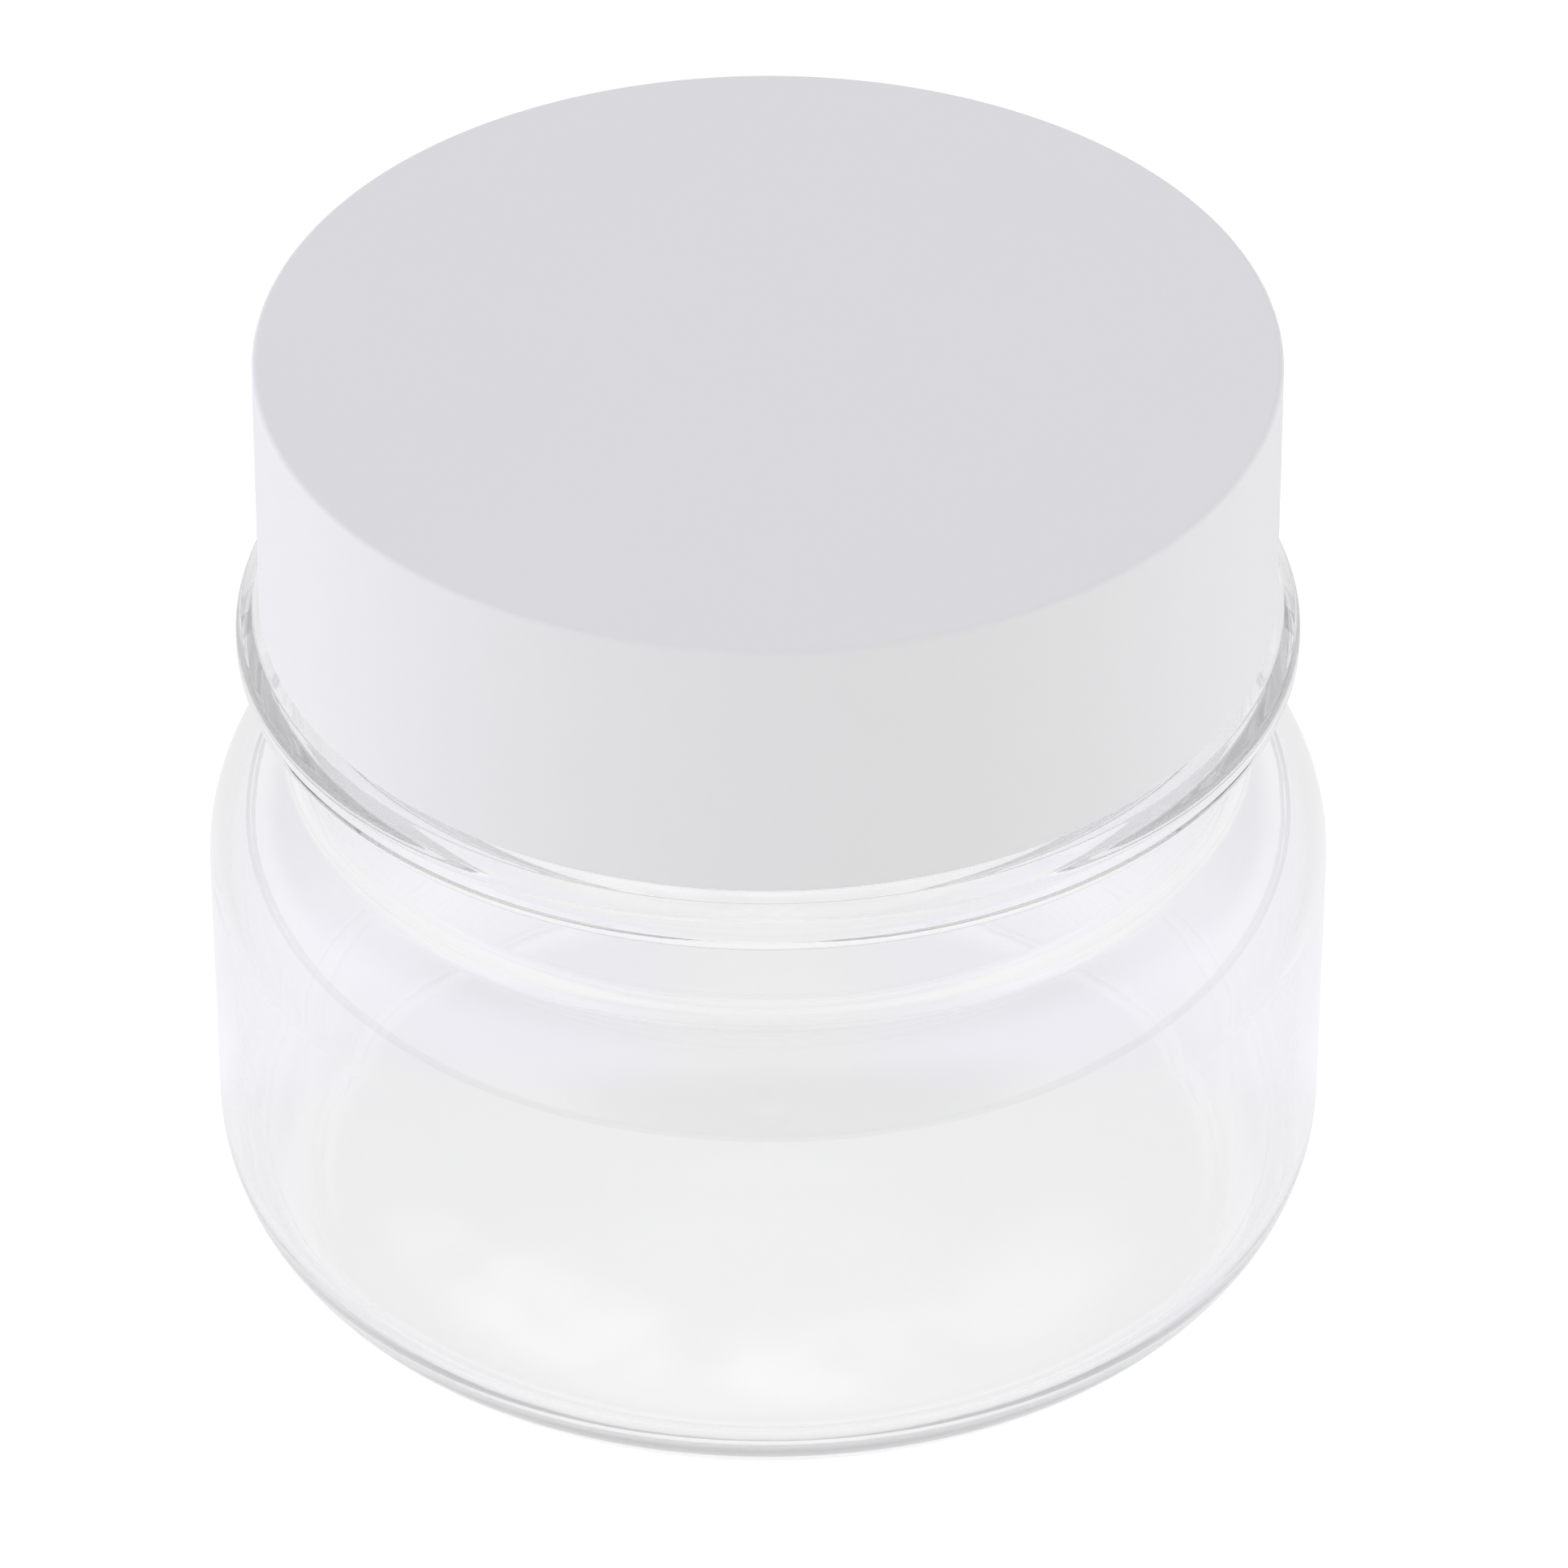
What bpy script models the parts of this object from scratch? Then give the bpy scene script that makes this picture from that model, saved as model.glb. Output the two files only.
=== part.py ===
"""Wide-mouth cosmetic jar: a clear jar, a white screw lid and the foam liner that seals it.

Metres, +Z up. The origin is the centre of the plane that the jar stands on, and Z is the
axis that every piece is turned about. The lid unscrews anticlockwise, seen from above.
"""
import bmesh
import bpy
from math import acos, ceil, cos, pi, radians, sin, tan
from mathutils import Matrix, Vector

# Lid
LID_DIAMETER = 0.0700
LID_HEIGHT = 0.0196
LID_WALL = 0.0013
LID_PANEL = 0.0015
LID_TOP_EDGE = 0.0004
LID_LIP_EDGE = 0.0003
LID_CORNER = 0.0005

# Liner, with the gap kept to each face that it seals on and the bead that holds it in the lid
LINER_THICKNESS = 0.0012
LINER_EDGE = 0.00015
LINER_FIT = 0.0004
SEAT_GAP = 0.0003
BEAD_HOLD = 0.0003
BEAD_HEIGHT = 0.0006

# Screw thread, the same section on the neck and in the lid
THREAD_LEAD = 0.0042
THREAD_DEPTH = 0.00095
THREAD_ROOT = 0.0022
THREAD_CREST = 0.0008
THREAD_FIT = 0.00035
THREAD_FLANK_GAP = 0.0003
THREAD_FADE = radians(30)
THREAD_BURIED = 0.0005
THREAD_BELOW_RIM = 0.0024
NECK_TURNS = 2.0
LID_TURNS = 1.5
LID_THREAD_LAG = radians(24)

# Neck and support flange
NECK_WALL = 0.0014
RIM_EDGE = 0.0004
FINISH_FILLET = 0.0004
LID_GAP = 0.0006
FLANGE_DIAMETER = 0.0733
FLANGE_THICKNESS = 0.0036
FLANGE_CHAMFER = 0.0012
FLANGE_TOP_EDGE = 0.0008
FLANGE_RIM_EDGE = 0.0012
FLANGE_LOW_EDGE = 0.0003
NECK_DIAMETER = 0.0660
NECK_BAND = 0.0081
NECK_FILLET = 0.0015

# Body
BODY_DIAMETER = 0.0780
BODY_TAPER = 0.0005
BODY_HEIGHT = 0.0342
BODY_WALL = 0.0013
SHOULDER_SLOPE = radians(29)
SHOULDER_RADIUS = 0.0100
HEEL_SLOPE = radians(24)
HEEL_RADIUS = 0.0094
HEEL_RADIUS_INSIDE = 0.0065

# Base, with the gate mark that moulding leaves at its centre
FOOT_INSET = 0.00585
FOOT_EDGE = 0.0012
FOOT_WIDTH = 0.0012
FOOT_THICKNESS = 0.0024
PUSH_UP = 0.0025
FLOOR_THICKNESS = 0.0022
GATE_DIAMETER = 0.0030
GATE_HEIGHT = 0.0003

# Fineness of the facets: sides of a full turn, rings of a dome, and how far an arc may cut its corner
SIDES = 60
DOME_RINGS = 4
ARC_SAG = 0.00005

# Radii that follow
body_r = BODY_DIAMETER / 2
heel_r = body_r - BODY_TAPER / 2
foot_r = heel_r - FOOT_INSET
neck_r = NECK_DIAMETER / 2
flange_r = FLANGE_DIAMETER / 2
lid_r = LID_DIAMETER / 2
lid_bore_r = lid_r - LID_WALL
liner_r = lid_bore_r - LINER_FIT
bead_r = liner_r - BEAD_HOLD
finish_r = lid_bore_r - THREAD_FIT - THREAD_DEPTH
mouth_r = finish_r - NECK_WALL

# Heights that follow, from the base up
heel_z = FOOT_INSET * tan(HEEL_SLOPE)
neck_z = BODY_HEIGHT + (body_r - neck_r) * tan(SHOULDER_SLOPE)
flange_z = neck_z + NECK_BAND
flange_top_z = flange_z + FLANGE_THICKNESS
lid_z = flange_top_z + LID_GAP
lid_top_z = lid_z + LID_HEIGHT
panel_z = lid_top_z - LID_PANEL
liner_z = panel_z - SEAT_GAP - LINER_THICKNESS
rim_z = liner_z - SEAT_GAP
thread_top_z = rim_z - THREAD_BELOW_RIM

# How far below the neck's thread the lid's thread runs, with the flanks FLANK_GAP apart
thread_flank = (THREAD_ROOT - THREAD_CREST) / 2 / THREAD_DEPTH
thread_offset = THREAD_ROOT - (THREAD_DEPTH + THREAD_FIT) * thread_flank + THREAD_FLANK_GAP


def clear_scene():
    for thing in list(bpy.data.objects):
        bpy.data.objects.remove(thing, do_unlink=True)


def plastic(name, colour, roughness, transmission=0.0, ior=1.5):
    """A moulded or foamed plastic with one even finish."""
    material = bpy.data.materials.new(name)
    material.use_nodes = True
    shader = material.node_tree.nodes["Principled BSDF"]
    shader.inputs["Base Color"].default_value = (*colour, 1.0)
    shader.inputs["Roughness"].default_value = roughness
    shader.inputs["Metallic"].default_value = 0.0
    shader.inputs["Transmission Weight"].default_value = transmission
    shader.inputs["IOR"].default_value = ior
    return material


def rounded(corners):
    """Points of an outline through (radius, height, fillet) corners, each fillet as an arc.

    A fillet that its two straight runs are too short for is drawn in to fit them.
    """
    spots = [Vector((r, z)) for r, z, _ in corners]
    cuts = [0.0] * len(corners)
    halves = [0.0] * len(corners)
    for i in range(1, len(corners) - 1):
        back = (spots[i - 1] - spots[i]).normalized()
        ahead = (spots[i + 1] - spots[i]).normalized()
        halves[i] = acos(max(-1.0, min(1.0, back.dot(ahead)))) / 2
        cuts[i] = corners[i][2] / tan(halves[i])
    shares = [1.0] * len(corners)
    for i in range(len(corners) - 1):
        wanted = cuts[i] + cuts[i + 1]
        run = (spots[i + 1] - spots[i]).length
        if wanted > run:
            shares[i] = min(shares[i], run / wanted)
            shares[i + 1] = min(shares[i + 1], run / wanted)
    points = []
    for i, spot in enumerate(spots):
        cut = cuts[i] * shares[i]
        if cut == 0.0:
            points.append(spot)
            continue
        back = (spots[i - 1] - spot).normalized()
        ahead = (spots[i + 1] - spot).normalized()
        radius = cut * tan(halves[i])
        centre = spot + (back + ahead).normalized() * radius / sin(halves[i])
        start = spot + back * cut - centre
        turn = start.angle_signed(spot + ahead * cut - centre)
        steps = ceil(abs(turn) / (2 * acos(max(0.0, 1 - ARC_SAG / radius))))
        for k in range(steps + 1):
            points.append(centre + Matrix.Rotation(-turn * k / steps, 2) @ start)
    return points


def dome(edge_r, edge_z, rise, inner_r=0.0):
    """Corners of a shallow dome from its edge in to inner_r."""
    corners = []
    for k in range(1, DOME_RINGS + 1):
        r = edge_r + (inner_r - edge_r) * k / DOME_RINGS
        corners.append((r, edge_z + rise * (1 - (r / edge_r) ** 2), 0.0))
    return corners


def turned(name, outline, height, material):
    """A solid of revolution about Z, from an outline that starts and ends on the axis.

    Its origin stands on the axis at the given height.
    """
    build = bmesh.new()
    ring = [build.verts.new((point.x, 0.0, point.y - height)) for point in outline]
    edges = [build.edges.new(pair) for pair in zip(ring[:-1], ring[1:])]
    bmesh.ops.spin(build, geom=ring + edges, cent=(0, 0, 0), axis=(0, 0, 1),
                   angle=2 * pi, steps=SIDES)
    bmesh.ops.remove_doubles(build, verts=build.verts, dist=1e-6)
    bmesh.ops.recalc_face_normals(build, faces=build.faces)
    return finished(name, build, height, material)


def thread_rib(name, wall_r, outward, top_z, top_angle, turns, height, material):
    """A right-handed helical rib on a round wall, faded into the wall at both ends.

    outward is 1 where the rib stands out of the wall and -1 where it stands in towards the axis.
    """
    build = bmesh.new()
    steps = round(turns * SIDES)
    step_angle = turns * 2 * pi / steps
    sections = []
    for k in range(steps + 1):
        angle = top_angle - k * step_angle
        z = top_z - height - THREAD_LEAD * k * step_angle / (2 * pi)
        grown = min(1.0, k * step_angle / THREAD_FADE, (steps - k) * step_angle / THREAD_FADE)
        stand = THREAD_DEPTH * grown - THREAD_BURIED / 2 * (1 - grown)
        section = []
        for reach, side in ((-THREAD_BURIED, 1), (stand, 1), (stand, -1), (-THREAD_BURIED, -1)):
            r = wall_r + outward * reach
            half = THREAD_ROOT / 2 - thread_flank * reach
            section.append(build.verts.new((r * cos(angle), r * sin(angle), z + side * half)))
        sections.append(section)
    for here, there in zip(sections[:-1], sections[1:]):
        for i in range(4):
            j = (i + 1) % 4
            build.faces.new((here[i], here[j], there[j], there[i]))
    build.faces.new(sections[0])
    build.faces.new(sections[-1])
    bmesh.ops.recalc_face_normals(build, faces=build.faces)
    rib = finished(name, build, height, material)
    rib.hide_render = True
    rib.display_type = "WIRE"
    return rib


def finished(name, build, height, material):
    """The object that holds a built mesh, shaded smooth but for its real edges."""
    mesh = bpy.data.meshes.new(name)
    build.to_mesh(mesh)
    build.free()
    mesh.materials.append(material)
    mesh.shade_smooth()
    mesh.set_sharp_from_angle(angle=radians(35))
    piece = bpy.data.objects.new(name, mesh)
    piece.location.z = height
    bpy.context.scene.collection.objects.link(piece)
    return piece


def join_rib(piece, rib):
    """Make a rib and the wall that it stands on one moulding."""
    joint = piece.modifiers.new("thread", "BOOLEAN")
    joint.operation = "UNION"
    joint.solver = "EXACT"
    joint.object = rib


def jar_outline():
    """From the gate mark out under the base, up the outside, over the rim and down the inside."""
    gate_r = GATE_DIAMETER / 2
    ring_r = foot_r - FOOT_WIDTH
    under = dome(ring_r, 0.0, PUSH_UP, gate_r)
    gate_z = under[-1][1]
    inner_body_r = body_r - BODY_WALL
    inner_heel_r = heel_r - BODY_WALL
    floor_r = inner_heel_r - HEEL_RADIUS_INSIDE
    floor_rise = PUSH_UP + FLOOR_THICKNESS - FOOT_THICKNESS

    def inner_slope_z(r):
        return neck_z - (r - neck_r) * tan(SHOULDER_SLOPE) - BODY_WALL / cos(SHOULDER_SLOPE)

    corners = [(0.0, gate_z - GATE_HEIGHT, 0.0), (gate_r, gate_z - GATE_HEIGHT, 0.0)]
    corners += reversed(under)
    corners += [
        (ring_r, 0.0, 0.0),
        (foot_r, 0.0, FOOT_EDGE),
        (heel_r, heel_z, HEEL_RADIUS),
        (body_r, BODY_HEIGHT, SHOULDER_RADIUS),
        (neck_r, neck_z, NECK_FILLET),
        (neck_r, flange_z, 0.0),
        (flange_r, flange_z, FLANGE_LOW_EDGE),
        (flange_r, flange_top_z - FLANGE_CHAMFER, FLANGE_RIM_EDGE),
        (flange_r - FLANGE_CHAMFER, flange_top_z, FLANGE_TOP_EDGE),
        (finish_r, flange_top_z, FINISH_FILLET),
        (finish_r, rim_z, RIM_EDGE),
        (mouth_r, rim_z, RIM_EDGE),
        (mouth_r, inner_slope_z(mouth_r), NECK_FILLET + BODY_WALL),
        (inner_body_r, inner_slope_z(inner_body_r), SHOULDER_RADIUS - BODY_WALL),
        (inner_heel_r, FOOT_THICKNESS, HEEL_RADIUS_INSIDE),
        (floor_r, FOOT_THICKNESS, 0.0),
    ]
    corners += dome(floor_r, FOOT_THICKNESS, floor_rise)
    return rounded(corners)


def lid_outline():
    """From the middle of the top out, down the skirt, round its lip and up past the liner's bead."""
    return rounded([
        (0.0, lid_top_z, 0.0),
        (lid_r, lid_top_z, LID_TOP_EDGE),
        (lid_r, lid_z, LID_LIP_EDGE),
        (lid_bore_r, lid_z, LID_LIP_EDGE),
        (lid_bore_r, rim_z - BEAD_HEIGHT - (lid_bore_r - bead_r), 0.0),
        (bead_r, rim_z - BEAD_HEIGHT, 0.0),
        (bead_r, rim_z, 0.0),
        (lid_bore_r, rim_z, 0.0),
        (lid_bore_r, panel_z, LID_CORNER),
        (0.0, panel_z, 0.0),
    ])


def liner_outline():
    top = liner_z + LINER_THICKNESS
    return rounded([
        (0.0, top, 0.0),
        (liner_r, top, LINER_EDGE),
        (liner_r, liner_z, LINER_EDGE),
        (0.0, liner_z, 0.0),
    ])


def make_jar():
    clear = plastic("clear_plastic", (0.96, 0.965, 0.975), 0.04, transmission=1.0, ior=1.57)
    jar = turned("jar", jar_outline(), 0.0, clear)
    half_step = pi / SIDES
    rib = thread_rib("neck_thread", finish_r, 1, thread_top_z, half_step, NECK_TURNS, 0.0, clear)
    join_rib(jar, rib)


def make_lid():
    white = plastic("lid_plastic", (0.86, 0.86, 0.88), 0.32)
    lid = turned("lid", lid_outline(), lid_z, white)
    half_step = pi / SIDES
    lag_z = THREAD_LEAD * LID_THREAD_LAG / (2 * pi)
    rib = thread_rib("lid_thread", lid_bore_r, -1, thread_top_z - thread_offset - lag_z,
                     half_step - LID_THREAD_LAG, LID_TURNS, lid_z, white)
    join_rib(lid, rib)


def make_liner():
    foam = plastic("liner_foam", (0.93, 0.93, 0.92), 0.85)
    turned("liner", liner_outline(), liner_z, foam)


clear_scene()
make_jar()
make_lid()
make_liner()
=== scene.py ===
"""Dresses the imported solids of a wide-mouth cosmetic jar: clear jar, white screw lid, foam liner.

Metres, +Z up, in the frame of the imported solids. The jar stands on Z = 0 and every piece is turned
about Z.
"""
from math import acos, ceil, cos, pi, radians, sin, tan

import bmesh
import bpy
from mathutils import Matrix, Vector


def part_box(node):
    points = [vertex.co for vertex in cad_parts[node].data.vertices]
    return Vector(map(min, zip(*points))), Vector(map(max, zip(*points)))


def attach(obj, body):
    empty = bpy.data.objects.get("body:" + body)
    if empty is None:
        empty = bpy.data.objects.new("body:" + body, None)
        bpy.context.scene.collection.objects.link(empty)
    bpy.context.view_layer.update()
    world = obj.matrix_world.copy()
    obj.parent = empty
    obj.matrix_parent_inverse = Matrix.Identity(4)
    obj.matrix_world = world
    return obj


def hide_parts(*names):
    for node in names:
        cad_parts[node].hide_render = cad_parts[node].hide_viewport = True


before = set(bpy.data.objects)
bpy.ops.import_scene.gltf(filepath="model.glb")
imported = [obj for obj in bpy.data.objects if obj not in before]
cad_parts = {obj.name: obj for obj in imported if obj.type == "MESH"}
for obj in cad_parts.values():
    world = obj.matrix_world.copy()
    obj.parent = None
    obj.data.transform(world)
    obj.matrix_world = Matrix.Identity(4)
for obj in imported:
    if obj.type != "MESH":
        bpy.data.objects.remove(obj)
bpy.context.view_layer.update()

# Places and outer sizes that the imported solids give
rim_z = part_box("jar")[1].z
lid_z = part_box("lid")[0].z
lid_top_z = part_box("lid")[1].z
lid_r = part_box("lid")[1].x
liner_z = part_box("liner")[0].z
liner_top_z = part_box("liner")[1].z
liner_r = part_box("liner")[1].x

# Lid
LID_WALL = 0.0013
LID_PANEL = 0.0015
LID_TOP_EDGE = 0.0004
LID_LIP_EDGE = 0.0003
LID_CORNER = 0.0005
BEAD_HOLD = 0.0003
BEAD_HEIGHT = 0.0006
BEAD_EDGE = 0.0001

# Foam liner, with the ring that the jar's rim has pressed into it
LINER_EDGE = 0.00015
DENT_DEPTH = 0.00012
DENT_FILLET = 0.0003

# Screw thread
THREAD_LEAD = 0.0042
THREAD_DEPTH = 0.00095
THREAD_ROOT = 0.0022
THREAD_CREST = 0.0008
THREAD_FILLET = 0.00025
THREAD_FIT = 0.00035
THREAD_FLANK_GAP = 0.0003
THREAD_FADE = radians(30)
THREAD_BELOW_RIM = 0.0024
NECK_TURNS = 2.0
LID_TURNS = 1.5
LID_THREAD_LAG = radians(24)
THREAD_START = radians(3)

# Neck and support flange
NECK_WALL = 0.0014
RIM_EDGE = 0.0004
FINISH_FILLET = 0.0004
LID_GAP = 0.0006
FLANGE_DIAMETER = 0.0733
FLANGE_THICKNESS = 0.0036
FLANGE_CHAMFER = 0.0012
FLANGE_TOP_EDGE = 0.0002
FLANGE_RIM_EDGE = 0.0012
FLANGE_LOW_EDGE = 0.0013
UNDER_FLANGE_FILLET = 0.0004
NECK_DIAMETER = 0.0660
NECK_FILLET = 0.0015

# Body
BODY_DIAMETER = 0.0780
BODY_TAPER = 0.0005
BODY_HEIGHT = 0.0342
BODY_WALL = 0.0013
SHOULDER_SLOPE = radians(29)
SHOULDER_RADIUS = 0.0100
HEEL_SLOPE = radians(24)
HEEL_RADIUS = 0.0094
HEEL_RADIUS_INSIDE = 0.0065

# Base
FOOT_INSET = 0.00585
FOOT_EDGE = 0.0012
FOOT_WIDTH = 0.0012
FOOT_INNER_EDGE = 0.0012
FOOT_THICKNESS = 0.0020
PUSH_UP = 0.0025
FLOOR_THICKNESS = 0.0022
GATE_DIAMETER = 0.0030
GATE_HEIGHT = 0.00010
GATE_EDGE = 0.0012

# Fineness of the turned surfaces. A straight run that is at least GUARDED_RUN long gets its guards.
SIDES = 256
DOME_RINGS = 30
ARC_STEP = radians(9)
ARC_CHORD = 0.0006
GUARD = 0.00012
GUARDED_RUN = 4 * GUARD
THREAD_ROW = 0.00017
# How far a point's radius may be off its wall's, in an outline and in the finished mesh
OUTLINE_SLACK = 1e-6
MESH_SLACK = 2e-5

# Materials: noise scales in 1/metre, depths of relief in metres and pairs of tints for noise to mix
CLEAR_IOR = 1.57
CLEAR_TINTS = (0.987, 0.987, 0.988, 1.0), (0.979, 0.979, 0.981, 1.0)
CLEAR_WAVE_SCALE = 55.0
CLEAR_WAVE_DEPTH = 0.00010
CLEAR_RIPPLE_SCALE = 420.0
CLEAR_RIPPLE_DEPTH = 0.000004
CLEAR_CLOUD_SCALE = 160.0
CLEAR_ROUGHNESS = 0.008
CLEAR_CLOUD_ROUGHNESS = 0.020
# Haze that the mould leaves in the base, fading out over these heights and radii
BASE_HAZE = 0.12
HAZE_HEIGHT = (0.0052, 0.0060)
HAZE_RADIUS = (0.0290, 0.0320)

LID_IOR = 1.49
LID_TINTS = (0.797, 0.795, 0.799, 1.0), (0.783, 0.781, 0.785, 1.0)
LID_CLOUD_SCALE = 45.0
LID_GRAIN_SCALE = 5200.0
LID_GRAIN_DEPTH = 0.000006
LID_DIMPLE_SCALE = 900.0
LID_DIMPLE_DEPTH = 0.000010
LID_ROUGHNESS = 0.40
LID_CLOUD_ROUGHNESS = 0.10
LID_GRAIN_ROUGHNESS = 0.06

FOAM_IOR = 1.45
FOAM_TINTS = (0.90, 0.90, 0.89, 1.0), (0.95, 0.95, 0.94, 1.0)
FOAM_CELL_SCALE = 2600.0
FOAM_CELL_DEPTH = 0.00006
FOAM_LUMP_SCALE = 300.0
FOAM_LUMP_DEPTH = 0.00005
FOAM_ROUGHNESS = 0.78
FOAM_LUMP_ROUGHNESS = 0.15

# Light can go round a clear wall many times before it leaves
BOUNCES = 256

# Camera, placed from the middle of the lid's top
VIEW_DISTANCE = 0.8094
VIEW_ELEVATION = radians(34.01)
AIM_BELOW = radians(2.07)
AXIS_LEFT_OF_AIM = 0.0011
LENS = 273.9
SENSOR = 36.0
CLIP_START = 0.05
CLIP_END = 20.0

# Light. Each glow is (azimuth from the front, elevation, outer angle, inner angle).
LEFT_BOX = (radians(-85), radians(30), radians(70), radians(15))
RIGHT_BOX = (radians(80), radians(32), radians(62), radians(15))
CAMERA_SIDE = (radians(6), radians(16), radians(52), radians(20))
FAR_SIDE = (radians(180), radians(38), radians(78), radians(50))
OVERHEAD = (radians(0), radians(90), radians(55), radians(10))
# The room's low bright wall, which fades out upwards between two heights, and the dark edge that
# stands on the floor
LOW_WALL = (radians(8), radians(22))
FLOOR_EDGE = (radians(2.2), radians(2.8))

# Floor, with the shares of its own glow in what the camera sees and in what clear plastic shows
FLOOR_RADIUS = 3.0
FLOOR_SIDES = 96
FLOOR_DROP = 0.0001
FLOOR_CAMERA_SHARE = 0.80
FLOOR_CLEAR_SHARE = 0.92
# On the floor as clear plastic shows it, as (start, full, still full, end) from the axis outwards:
# the painted soft shadow at the jar's sides, which goes over into painted shade further out, and
# the patchy crescent of painted light that the jar throws forward, fainter on the right
SHADOW = (0.0330, 0.0370, 0.0550, 0.0850)
SHADOW_SIDE = (0.012, 0.034)
PAINTED_FAR_SHADE = (0.055, 0.085)
CRESCENT = (0.0160, 0.0225, 0.0255, 0.0300)
CRESCENT_FRONT = (0.000, 0.014)
CRESCENT_RIGHT = (-0.004, 0.010)
CRESCENT_DROP = 0.45
CRESCENT_PATCH_SCALE = 70.0
CRESCENT_PATCH = (0.30, 0.56)
# Painted cool light in patches behind the jar's middle on each side, as (start, full) sideways
# and backwards, and where they end
PAINTED_COOL_SIDE = (0.004, 0.013)
PAINTED_COOL_BACK = (0.005, 0.012)
PAINTED_COOL_END = (0.042, 0.060)

# Colours that light the pieces
FLOOR_PALE = (0.95, 0.95, 0.95, 1.0)
ROOM_LIGHT = (0.80, 0.775, 0.80, 1.0)
LEFT_LIGHT = (1.95, 1.94, 2.06, 1.0)
RIGHT_LIGHT = (1.84, 1.85, 1.88, 1.0)
OVERHEAD_LIGHT = (0.15, 0.15, 0.20, 1.0)
CAMERA_SIDE_LIGHT = (0.62, 0.61, 0.53, 1.0)
# Colours that clear plastic and reflections show
ROOM_SEEN = (0.74, 0.74, 0.74, 1.0)
LOW_SEEN = (0.95, 0.95, 0.95, 1.0)
BOX_SEEN = (1.0, 0.99, 1.06, 1.0)
CAMERA_SIDE_SEEN = (0.28, 0.28, 0.29, 1.0)
FAR_SIDE_SEEN = (0.46, 0.46, 0.47, 1.0)
EDGE_SEEN = (0.05, 0.05, 0.06, 1.0)
FLOOR_SEEN = (0.97, 0.97, 0.97, 1.0)
SHADOW_SEEN = (0.905, 0.90, 0.925, 1.0)
# Painted shade on the floor further out from the jar, as clear plastic shows it
PAINTED_FAR_SHADE_SEEN = (0.85, 0.85, 0.855, 1.0)
# Painted cool light on the floor behind the jar's middle, as clear plastic shows it
PAINTED_COOL_LIGHT_SEEN = (0.965, 0.955, 1.01, 1.0)
CRESCENT_SEEN = (1.06, 1.06, 1.06, 1.0)
# White of the floor and of the room to the camera
FLOOR_WHITE = (1.1, 1.1, 1.1, 1.0)
ROOM_WHITE = (1.0, 1.0, 1.0, 1.0)

# Radii and heights that follow from the sizes
body_r = BODY_DIAMETER / 2
heel_r = body_r - BODY_TAPER / 2
foot_r = heel_r - FOOT_INSET
neck_r = NECK_DIAMETER / 2
flange_r = FLANGE_DIAMETER / 2
lid_bore_r = lid_r - LID_WALL
bead_r = liner_r - BEAD_HOLD
finish_r = lid_bore_r - THREAD_FIT - THREAD_DEPTH
mouth_r = finish_r - NECK_WALL

heel_z = FOOT_INSET * tan(HEEL_SLOPE)
neck_z = BODY_HEIGHT + (body_r - neck_r) * tan(SHOULDER_SLOPE)
flange_top_z = lid_z - LID_GAP
flange_z = flange_top_z - FLANGE_THICKNESS
panel_z = lid_top_z - LID_PANEL
thread_top_z = rim_z - THREAD_BELOW_RIM

# How far one flank slopes, and how far below the neck's thread the lid's runs
thread_flank = (THREAD_ROOT - THREAD_CREST) / 2 / THREAD_DEPTH
thread_offset = THREAD_ROOT - (THREAD_DEPTH + THREAD_FIT) * thread_flank + THREAD_FLANK_GAP


class Term:
    """An output socket of a node tree. Python's operators on it add Math nodes."""

    def __init__(self, tree, socket):
        self.tree = tree
        self.socket = socket

    def __add__(self, other):
        return self.tree.maths("ADD", self, other)

    def __sub__(self, other):
        return self.tree.maths("SUBTRACT", self, other)

    def __mul__(self, other):
        return self.tree.maths("MULTIPLY", self, other)

    def __truediv__(self, other):
        return self.tree.maths("DIVIDE", self, other)

    def __radd__(self, other):
        return self.tree.maths("ADD", other, self)

    def __rsub__(self, other):
        return self.tree.maths("SUBTRACT", other, self)

    def __rmul__(self, other):
        return self.tree.maths("MULTIPLY", other, self)

    def __abs__(self):
        return self.tree.maths("ABSOLUTE", self)


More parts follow.
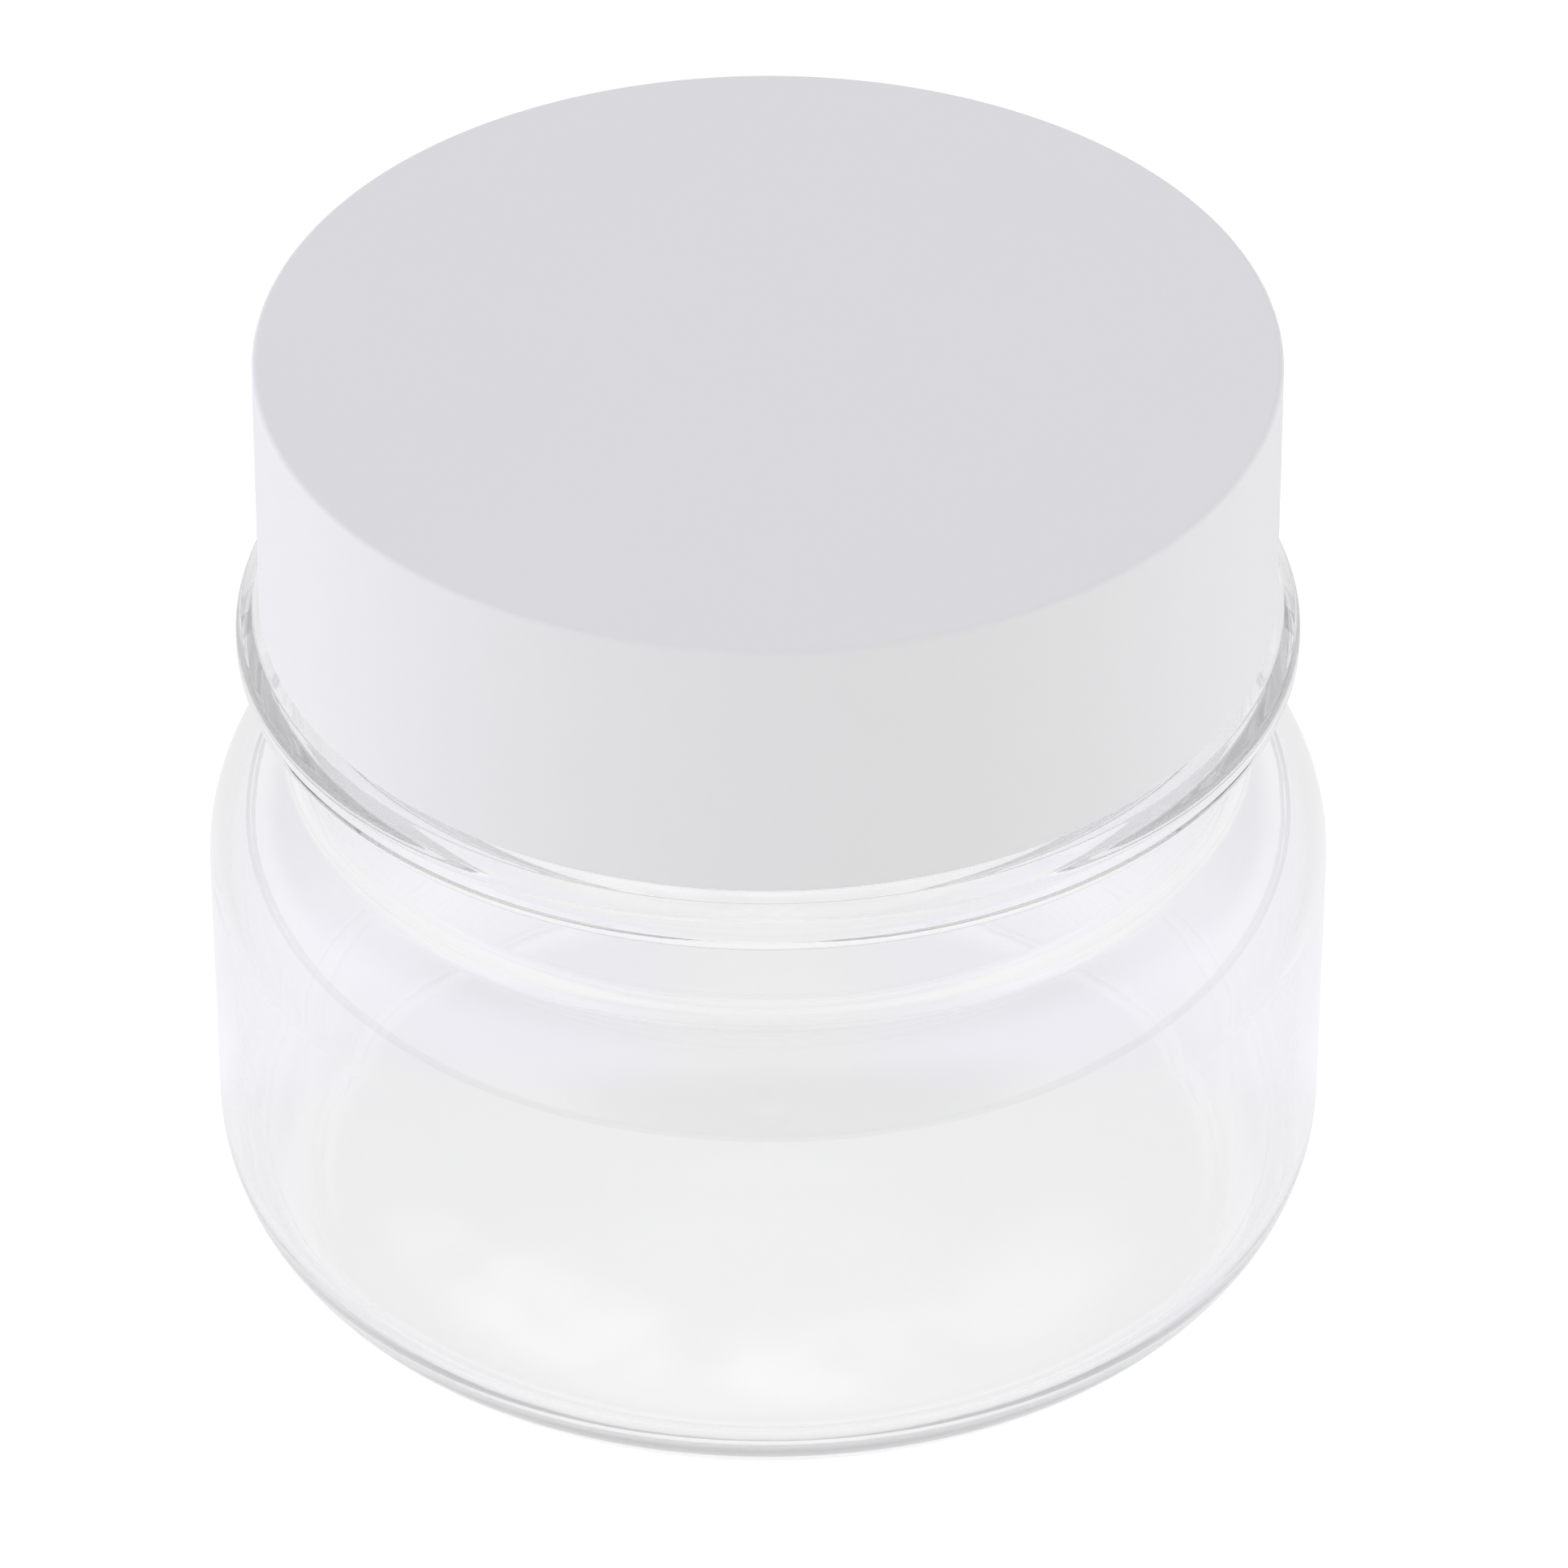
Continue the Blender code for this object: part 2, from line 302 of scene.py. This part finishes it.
class Tree:
    """A shader or geometry node tree that is written as calls and expressions."""

    def __init__(self, tree):
        self.tree = tree

    def add(self, kind, settings=None, sockets=None, out=0):
        """One output of a new node, after its settings and then its sockets' values or links."""
        node = self.tree.nodes.new(kind)
        for name, value in (settings or {}).items():
            setattr(node, name, value)
        for key, value in (sockets or {}).items():
            self.feed(node.inputs[key], value)
        if not node.outputs:
            return node
        return Term(self, node.outputs[out])

    def feed(self, socket, value):
        if isinstance(value, Term):
            self.tree.links.new(value.socket, socket)
        else:
            socket.default_value = value

    def terms(self, kind, outputs, sockets=None):
        """Several outputs of one node."""
        node = self.add(kind, {}, sockets).socket.node
        return [Term(self, node.outputs[name]) for name in outputs]

    def maths(self, operation, *values):
        return self.add("ShaderNodeMath", {"operation": operation}, dict(enumerate(values)))

    def about_axis(self, place):
        """A place's X, Y and Z, and its distance from the Z axis."""
        x, y, z = self.terms("ShaderNodeSeparateXYZ", "XYZ", {"Vector": place})
        return x, y, z, self.maths("SQRT", x * x + y * y)

    def rays(self):
        """Shares of the camera's own rays, and of rays from a reflection or from clear plastic."""
        camera, glossy, clear = self.terms(
            "ShaderNodeLightPath", ("Is Camera Ray", "Is Glossy Ray", "Is Transmission Ray"))
        return camera, self.maths("MAXIMUM", glossy, clear)

    def colours(self, share, first, second):
        """Mixes two colours by a share, both as (red, green, blue, 1) or as terms."""
        return self.add("ShaderNodeMix", {"data_type": "RGBA"},
                        {0: share, 6: first, 7: second}, out=2)

    def noise(self, place, scale, detail=2.0, roughness=0.5):
        """Even noise from 0 to 1 on a place, with a scale in 1/metre."""
        return self.add("ShaderNodeTexNoise", {}, {
            "Vector": place, "Scale": scale, "Detail": detail, "Roughness": roughness})

    def glow(self, toward, azimuth, elevation, outer, inner):
        """Share from 0 at the outer angle to 1 at the inner angle round a direction."""
        middle = (sin(azimuth) * cos(elevation), -cos(azimuth) * cos(elevation), sin(elevation))
        near = self.add("ShaderNodeVectorMath", {"operation": "DOT_PRODUCT"},
                        {0: toward, 1: middle}, out="Value")
        return self.smooth(near, cos(outer), cos(inner))

    def smooth(self, value, start, end):
        """Rises from 0 to 1 as a value goes from start to end."""
        return self.add("ShaderNodeMapRange", {"interpolation_type": "SMOOTHSTEP"},
                        {"Value": value, "From Min": start, "From Max": end})

    def ring(self, value, start, full, still, end):
        """Rises from 0 to 1 from start to full, and falls back to 0 from still to end."""
        return self.smooth(value, start, full) * (1 - self.smooth(value, still, end))

    def bump(self, height, depth, normal=None):
        """A normal from a height of 0 to 1 that is worth depth metres."""
        sockets = {"Height": height, "Distance": depth, "Strength": 1.0}
        if normal is not None:
            sockets["Normal"] = normal
        return self.add("ShaderNodeBump", {}, sockets)


def moulded(name, **fixed):
    """A material's tree with one Principled shader whose fixed sockets are set, and that shader."""
    material = bpy.data.materials.new(name)
    material.use_nodes = True
    tree = Tree(material.node_tree)
    shader = material.node_tree.nodes["Principled BSDF"]
    for socket, value in fixed.items():
        shader.inputs[socket.replace("_", " ")].default_value = value
    place = tree.add("ShaderNodeTexCoord", {}, {}, out="Object")
    return material, tree, shader, place


def clear_plastic():
    """Clear glossy plastic, with a faint cool tint and the slow waves that moulding leaves."""
    material, tree, shader, place = moulded("jar clear plastic", Transmission_Weight=1.0,
                                            IOR=CLEAR_IOR)
    wave = tree.noise(place, CLEAR_WAVE_SCALE, detail=1.0)
    ripple = tree.noise(place, CLEAR_RIPPLE_SCALE)
    cloud = tree.noise(place, CLEAR_CLOUD_SCALE, detail=3.0)
    tree.feed(shader.inputs["Base Color"], tree.colours(wave, *CLEAR_TINTS))
    _, _, z, r = tree.about_axis(place)
    base = (1 - tree.smooth(z, *HAZE_HEIGHT)) * (1 - tree.smooth(r, *HAZE_RADIUS))
    tree.feed(shader.inputs["Roughness"],
              CLEAR_ROUGHNESS + CLEAR_CLOUD_ROUGHNESS * cloud + BASE_HAZE * base)
    waves = tree.bump(wave, CLEAR_WAVE_DEPTH)
    tree.feed(shader.inputs["Normal"], tree.bump(ripple, CLEAR_RIPPLE_DEPTH, waves))
    return material


def lid_plastic():
    """White moulded plastic with a satin grain."""
    material, tree, shader, place = moulded("lid white plastic", IOR=LID_IOR)
    cloud = tree.noise(place, LID_CLOUD_SCALE, detail=3.0)
    grain = tree.noise(place, LID_GRAIN_SCALE, roughness=0.6)
    dimple = tree.noise(place, LID_DIMPLE_SCALE)
    tree.feed(shader.inputs["Base Color"], tree.colours(cloud, *LID_TINTS))
    tree.feed(shader.inputs["Roughness"],
              LID_ROUGHNESS + LID_CLOUD_ROUGHNESS * cloud + LID_GRAIN_ROUGHNESS * grain)
    satin = tree.bump(grain, LID_GRAIN_DEPTH)
    tree.feed(shader.inputs["Normal"], tree.bump(dimple, LID_DIMPLE_DEPTH, satin))
    return material


def liner_foam():
    """White closed-cell foam: fine cells, some of them open at the skin."""
    material, tree, shader, place = moulded("liner white foam", IOR=FOAM_IOR)
    cells = tree.add("ShaderNodeTexVoronoi", {"feature": "F1"},
                     {"Vector": place, "Scale": FOAM_CELL_SCALE})
    lumps = tree.noise(place, FOAM_LUMP_SCALE, detail=3.0)
    tree.feed(shader.inputs["Base Color"], tree.colours(cells, *FOAM_TINTS))
    tree.feed(shader.inputs["Roughness"], FOAM_ROUGHNESS + FOAM_LUMP_ROUGHNESS * lumps)
    pits = tree.bump(cells, FOAM_CELL_DEPTH)
    tree.feed(shader.inputs["Normal"], tree.bump(lumps, FOAM_LUMP_DEPTH, pits))
    return material


def rounded(corners):
    """Points of an outline through (radius, height, fillet) corners, each fillet as an arc.

    A fillet that its two straight runs are too short for is drawn in to fit them. Every long run
    beside an arc gets a guard point near each end, which keeps the arc's shading off the wall.
    """
    spots = [Vector((r, z)) for r, z, _ in corners]
    cuts = [0.0] * len(corners)
    halves = [0.0] * len(corners)
    for i in range(1, len(corners) - 1):
        back = (spots[i - 1] - spots[i]).normalized()
        ahead = (spots[i + 1] - spots[i]).normalized()
        halves[i] = acos(max(-1.0, min(1.0, back.dot(ahead)))) / 2
        cuts[i] = corners[i][2] / tan(halves[i])
    shares = [1.0] * len(corners)
    for i in range(len(corners) - 1):
        wanted = cuts[i] + cuts[i + 1]
        run = (spots[i + 1] - spots[i]).length
        if wanted > run:
            shares[i] = min(shares[i], run / wanted)
            shares[i + 1] = min(shares[i + 1], run / wanted)
    points = []
    for i, spot in enumerate(spots):
        cut = cuts[i] * shares[i]
        arc = [spot]
        if cut > 0.0:
            back = (spots[i - 1] - spot).normalized()
            ahead = (spots[i + 1] - spot).normalized()
            radius = cut * tan(halves[i])
            centre = spot + (back + ahead).normalized() * radius / sin(halves[i])
            start = spot + back * cut - centre
            turn = start.angle_signed(spot + ahead * cut - centre)
            steps = max(ceil(abs(turn) / ARC_STEP), ceil(abs(turn) * radius / ARC_CHORD))
            arc = [centre + Matrix.Rotation(-turn * k / steps, 2) @ start
                   for k in range(steps + 1)]
        if points and (cut > 0.0 or cuts[i - 1] > 0.0):
            points += guards(points[-1], arc[0])
        points += arc
    return points


def guards(start, end):
    """Two points just inside the ends of a straight run, if it is long enough for them."""
    run = end - start
    if run.length < GUARDED_RUN:
        return []
    step = run.normalized() * GUARD
    return [start + step, end - step]


def with_rows(points, wall_r, row):
    """The outline with its runs along a wall of that radius cut into rows."""
    fine = [points[0]]
    for start, end in zip(points[:-1], points[1:]):
        on_wall = max(abs(start.x - wall_r), abs(end.x - wall_r)) < OUTLINE_SLACK
        steps = ceil((end - start).length / row) if on_wall else 1
        for k in range(1, steps + 1):
            fine.append(start.lerp(end, k / steps))
    return fine


def dome(edge_r, edge_z, rise, inner_r=0.0):
    """Corners of a shallow dome from its edge in to inner_r."""
    corners = []
    for k in range(1, DOME_RINGS + 1):
        r = edge_r + (inner_r - edge_r) * k / DOME_RINGS
        corners.append((r, edge_z + rise * (1 - (r / edge_r) ** 2), 0.0))
    return corners


def turned(name, outline):
    """A smooth solid of revolution about Z.

    The outline starts and ends on the axis and has the solid on its left.
    """
    turns = [(cos(2 * pi * k / SIDES), sin(2 * pi * k / SIDES)) for k in range(SIDES)]
    spots = [(0.0, 0.0, outline[0].y)]
    for point in outline[1:-1]:
        spots += [(point.x * across, point.x * along, point.y) for across, along in turns]
    spots.append((0.0, 0.0, outline[-1].y))
    steps = [(k, (k + 1) % SIDES) for k in range(SIDES)]
    last = len(spots) - 1
    first_ring = 1
    last_ring = last - SIDES
    faces = [(0, first_ring + after, first_ring + k) for k, after in steps]
    for low in range(first_ring, last_ring, SIDES):
        high = low + SIDES
        faces += [(low + k, low + after, high + after, high + k) for k, after in steps]
    faces += [(last, last_ring + k, last_ring + after) for k, after in steps]
    mesh = bpy.data.meshes.new(name)
    mesh.from_pydata(spots, [], faces)
    mesh.shade_smooth()
    piece = bpy.data.objects.new(name, mesh)
    bpy.context.scene.collection.objects.link(piece)
    return piece


def thread_nodes():
    """Geometry nodes that raise a helical rib with rounded edges out of a round wall."""
    group = bpy.data.node_groups.new("screw thread", "GeometryNodeTree")
    group.interface.new_socket("Geometry", in_out="INPUT", socket_type="NodeSocketGeometry")
    sizes = ["Wall Radius", "Outward", "Lead", "Depth", "Root Width", "Crest Width", "Fillet",
             "Top Height", "Top Angle", "Turns", "Fade Angle"]
    for name in sizes:
        group.interface.new_socket(name, in_out="INPUT", socket_type="NodeSocketFloat")
    group.interface.new_socket("Material", in_out="INPUT", socket_type="NodeSocketMaterial")
    group.interface.new_socket("Geometry", in_out="OUTPUT", socket_type="NodeSocketGeometry")

    tree = Tree(group)
    geometry, material, *values = tree.terms("NodeGroupInput", ["Geometry", "Material", *sizes])
    size = dict(zip(sizes, values))
    x, y, z, r = tree.about_axis(tree.add("GeometryNodeInputPosition"))

    lap = 2 * pi
    round_axis = tree.maths("ARCTAN2", y, x)
    down = tree.maths("FLOORED_MODULO", size["Top Angle"] - round_axis, lap)
    laps = tree.maths("ROUND", (size["Top Height"] - z) / size["Lead"] - down / lap)
    turned_by = down + laps * lap
    off = abs(z - size["Top Height"] + size["Lead"] * turned_by / lap)

    flank = (size["Root Width"] - size["Crest Width"]) / 2 / size["Depth"]
    section = tree.maths("SMOOTH_MIN", size["Depth"], (size["Root Width"] / 2 - off) / flank,
                         size["Fillet"])
    section = tree.maths("SMOOTH_MAX", section, 0.0, size["Fillet"])
    to_end = tree.maths("MINIMUM", turned_by, size["Turns"] * lap - turned_by)
    grown = tree.smooth(to_end / size["Fade Angle"], 0.0, 1.0)
    on_wall = tree.maths("COMPARE", r, size["Wall Radius"], MESH_SLACK)
    height = section * grown * on_wall * size["Outward"]
    offset = tree.add("ShaderNodeCombineXYZ", {}, {0: x / r * height, 1: y / r * height})

    raised = tree.add("GeometryNodeSetPosition", {}, {"Geometry": geometry, "Offset": offset})
    real = tree.add("GeometryNodeRealizeInstances", {}, {"Geometry": raised})
    dressed = tree.add("GeometryNodeSetMaterial", {}, {"Geometry": real, "Material": material})
    tree.add("NodeGroupOutput", {}, {0: dressed})
    return group


def cut_thread(piece, group, material, **sizes):
    """Raises the thread on a turned piece and leaves it as a plain mesh."""
    modifier = piece.modifiers.new("screw thread", "NODES")
    modifier.node_group = group
    for item in group.interface.items_tree:
        if item.in_out == "INPUT" and item.name in sizes:
            modifier[item.identifier] = sizes[item.name]
        if item.in_out == "INPUT" and item.name == "Material":
            modifier[item.identifier] = material
    bpy.context.view_layer.update()
    evaluated = piece.evaluated_get(bpy.context.evaluated_depsgraph_get())
    plain = bpy.data.meshes.new_from_object(evaluated)
    piece.modifiers.remove(modifier)
    piece.data = plain


def jar_outline():
    """From the gate mark out under the base, up the outside, over the rim and down the inside."""
    gate_r = GATE_DIAMETER / 2
    ring_r = foot_r - FOOT_WIDTH
    under = dome(ring_r, 0.0, PUSH_UP, gate_r)
    gate_z = under[-1][1]
    inner_body_r = body_r - BODY_WALL
    inner_heel_r = heel_r - BODY_WALL
    floor_r = inner_heel_r - HEEL_RADIUS_INSIDE
    floor_rise = PUSH_UP + FLOOR_THICKNESS - FOOT_THICKNESS

    def inner_slope_z(r):
        return neck_z - (r - neck_r) * tan(SHOULDER_SLOPE) - BODY_WALL / cos(SHOULDER_SLOPE)

    corners = [
        (0.0, gate_z - GATE_HEIGHT, 0.0),
        (gate_r - GATE_EDGE, gate_z - GATE_HEIGHT, GATE_EDGE),
    ]
    corners += reversed(under)
    corners += [
        (ring_r, 0.0, FOOT_INNER_EDGE),
        (foot_r, 0.0, FOOT_EDGE),
        (heel_r, heel_z, HEEL_RADIUS),
        (body_r, BODY_HEIGHT, SHOULDER_RADIUS),
        (neck_r, neck_z, NECK_FILLET),
        (neck_r, flange_z, UNDER_FLANGE_FILLET),
        (flange_r, flange_z, FLANGE_LOW_EDGE),
        (flange_r, flange_top_z - FLANGE_CHAMFER, FLANGE_RIM_EDGE),
        (flange_r - FLANGE_CHAMFER, flange_top_z, FLANGE_TOP_EDGE),
        (finish_r, flange_top_z, FINISH_FILLET),
        (finish_r, rim_z, RIM_EDGE),
        (mouth_r, rim_z, RIM_EDGE),
        (mouth_r, inner_slope_z(mouth_r), NECK_FILLET + BODY_WALL),
        (inner_body_r, inner_slope_z(inner_body_r), SHOULDER_RADIUS - BODY_WALL),
        (inner_heel_r, FOOT_THICKNESS, HEEL_RADIUS_INSIDE),
        (floor_r, FOOT_THICKNESS, 0.0),
    ]
    corners += dome(floor_r, FOOT_THICKNESS, floor_rise)
    return with_rows(rounded(corners), finish_r, THREAD_ROW)


def lid_outline():
    """From the middle of the panel's underside down past the liner's bead, round the lip and up."""
    return with_rows(rounded([
        (0.0, panel_z, 0.0),
        (lid_bore_r, panel_z, LID_CORNER),
        (lid_bore_r, rim_z, BEAD_EDGE),
        (bead_r, rim_z, BEAD_EDGE),
        (bead_r, rim_z - BEAD_HEIGHT, BEAD_EDGE),
        (lid_bore_r, rim_z - BEAD_HEIGHT - (lid_bore_r - bead_r), BEAD_EDGE),
        (lid_bore_r, lid_z, LID_LIP_EDGE),
        (lid_r, lid_z, LID_LIP_EDGE),
        (lid_r, lid_top_z, LID_TOP_EDGE),
        (0.0, lid_top_z, 0.0),
    ]), lid_bore_r, THREAD_ROW)


def liner_outline():
    """From the middle of the lower face out over the ring that the rim pressed, and back on top."""
    dent_z = liner_z + DENT_DEPTH
    return rounded([
        (0.0, liner_z, 0.0),
        (mouth_r - DENT_FILLET, liner_z, DENT_FILLET),
        (mouth_r + RIM_EDGE / 2, dent_z, DENT_FILLET),
        (finish_r - RIM_EDGE / 2, dent_z, DENT_FILLET),
        (finish_r + DENT_FILLET, liner_z, DENT_FILLET),
        (liner_r, liner_z, LINER_EDGE),
        (liner_r, liner_top_z, LINER_EDGE),
        (0.0, liner_top_z, 0.0),
    ])


def thread_sizes(wall_r, outward, top_z, top_angle, turns):
    """The named inputs of the thread's nodes, for one wall."""
    return {
        "Wall Radius": wall_r, "Outward": outward, "Lead": THREAD_LEAD, "Depth": THREAD_DEPTH,
        "Root Width": THREAD_ROOT, "Crest Width": THREAD_CREST, "Fillet": THREAD_FILLET,
        "Top Height": top_z, "Top Angle": top_angle, "Turns": turns, "Fade Angle": THREAD_FADE,
    }


def make_jar(thread):
    jar = turned("clear_jar", jar_outline())
    cut_thread(jar, thread, clear_plastic(),
               **thread_sizes(finish_r, 1.0, thread_top_z, THREAD_START, NECK_TURNS))
    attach(jar, "jar")
    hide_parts("jar")


def make_lid(thread):
    lid = turned("screw_lid", lid_outline())
    lag_z = THREAD_LEAD * LID_THREAD_LAG / (2 * pi)
    cut_thread(lid, thread, lid_plastic(),
               **thread_sizes(lid_bore_r, -1.0, thread_top_z - thread_offset - lag_z,
                              THREAD_START - LID_THREAD_LAG, LID_TURNS))
    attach(lid, "lid")
    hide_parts("lid")


def make_liner():
    liner = turned("foam_liner", liner_outline())
    liner.data.materials.append(liner_foam())
    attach(liner, "liner")
    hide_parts("liner")


def make_floor():
    """A pale floor that keeps the jar's shadow, white to the camera and through clear plastic."""
    build = bmesh.new()
    bmesh.ops.create_circle(build, cap_ends=True, radius=FLOOR_RADIUS, segments=FLOOR_SIDES)
    mesh = bpy.data.meshes.new("floor")
    build.to_mesh(mesh)
    build.free()
    floor = bpy.data.objects.new("floor", mesh)
    floor.location.z = -FLOOR_DROP
    bpy.context.scene.collection.objects.link(floor)
    material = bpy.data.materials.new("pale floor")
    material.use_nodes = True
    material.node_tree.nodes.clear()
    tree = Tree(material.node_tree)
    camera, clear = tree.rays()
    pale = tree.add("ShaderNodeBsdfDiffuse", {}, {"Color": FLOOR_PALE})
    place = tree.add("ShaderNodeTexCoord", {}, {}, out="Object")
    x, y, _, r = tree.about_axis(place)
    # Painted shade on the floor as clear plastic shows it: a soft shadow at the jar's sides, darker
    # further out
    side = tree.smooth(abs(x), *SHADOW_SIDE)
    seen = tree.colours(side * tree.ring(r, *SHADOW), FLOOR_SEEN, SHADOW_SEEN)
    seen = tree.colours(side * tree.smooth(r, *PAINTED_FAR_SHADE), seen, PAINTED_FAR_SHADE_SEEN)
    patches = tree.smooth(tree.noise(place, CRESCENT_PATCH_SCALE), *CRESCENT_PATCH)
    thrown = tree.ring(r, *CRESCENT) * tree.smooth(0 - y, *CRESCENT_FRONT) * patches
    thrown = thrown * (1 - CRESCENT_DROP * tree.smooth(x, *CRESCENT_RIGHT))
    seen = tree.colours(thrown, seen, CRESCENT_SEEN)
    # Painted cool light in patches on the floor behind the jar's middle on each side
    painted_cool_light = tree.smooth(abs(x), *PAINTED_COOL_SIDE) * tree.smooth(y, *PAINTED_COOL_BACK)
    painted_cool_light = painted_cool_light * (1 - tree.smooth(r, *PAINTED_COOL_END))
    seen = tree.colours(painted_cool_light, seen, PAINTED_COOL_LIGHT_SEEN)
    white = tree.add("ShaderNodeEmission", {}, {
        "Color": tree.colours(camera, seen, FLOOR_WHITE), "Strength": 1.0})
    share = FLOOR_CAMERA_SHARE * camera + FLOOR_CLEAR_SHARE * clear
    surface = tree.add("ShaderNodeMixShader", {}, {0: share, 1: pale, 2: white})
    tree.add("ShaderNodeOutputMaterial", {}, {"Surface": surface})
    mesh.materials.append(material)


def make_room():
    """A pale room with a soft box on each side: white to the camera, darker in clear plastic."""
    world = bpy.data.worlds.new("studio")
    bpy.context.scene.world = world
    world.use_nodes = True
    world.node_tree.nodes.clear()
    tree = Tree(world.node_tree)
    camera, clear = tree.rays()
    toward = tree.add("ShaderNodeTexCoord", {}, {}, out="Generated")
    left = tree.glow(toward, *LEFT_BOX)
    right = tree.glow(toward, *RIGHT_BOX)
    light = tree.colours(right, tree.colours(left, ROOM_LIGHT, LEFT_LIGHT), RIGHT_LIGHT)
    light = tree.colours(tree.glow(toward, *OVERHEAD), light, OVERHEAD_LIGHT)
    front = tree.glow(toward, *CAMERA_SIDE)
    light = tree.colours(front, light, CAMERA_SIDE_LIGHT)
    height = tree.add("ShaderNodeSeparateXYZ", {}, {"Vector": toward}, out="Z")
    over_wall = tree.smooth(height, *map(sin, LOW_WALL))
    over_edge = tree.smooth(height, *map(sin, FLOOR_EDGE))
    seen = tree.colours(tree.maths("MAXIMUM", left, right), ROOM_SEEN, BOX_SEEN)
    seen = tree.colours(tree.glow(toward, *FAR_SIDE), seen, FAR_SIDE_SEEN)
    seen = tree.colours(over_wall, LOW_SEEN, seen)
    seen = tree.colours(front, seen, CAMERA_SIDE_SEEN)
    seen = tree.colours(over_edge, EDGE_SEEN, seen)
    colour = tree.colours(camera, tree.colours(clear, light, seen), ROOM_WHITE)
    background = tree.add("ShaderNodeBackground", {}, {"Color": colour, "Strength": 1.0})
    tree.add("ShaderNodeOutputWorld", {}, {"Surface": background})


def make_camera():
    data = bpy.data.cameras.new("camera")
    data.lens = LENS
    data.sensor_width = SENSOR
    data.clip_start = CLIP_START
    data.clip_end = CLIP_END
    camera = bpy.data.objects.new("camera", data)
    bpy.context.scene.collection.objects.link(camera)
    camera.location = (AXIS_LEFT_OF_AIM, -VIEW_DISTANCE * cos(VIEW_ELEVATION),
                       lid_top_z + VIEW_DISTANCE * sin(VIEW_ELEVATION))
    camera.rotation_euler = (pi / 2 - VIEW_ELEVATION - AIM_BELOW, 0.0, 0.0)
    bpy.context.scene.camera = camera


def set_up_scene():
    scene = bpy.context.scene
    scene.view_settings.view_transform = "Standard"
    scene.cycles.max_bounces = BOUNCES
    scene.cycles.transmission_bounces = BOUNCES
    scene.cycles.glossy_bounces = BOUNCES
    scene.cycles.blur_glossy = 0.0


thread = thread_nodes()
make_jar(thread)
make_lid(thread)
make_liner()
make_floor()
make_room()
make_camera()
set_up_scene()
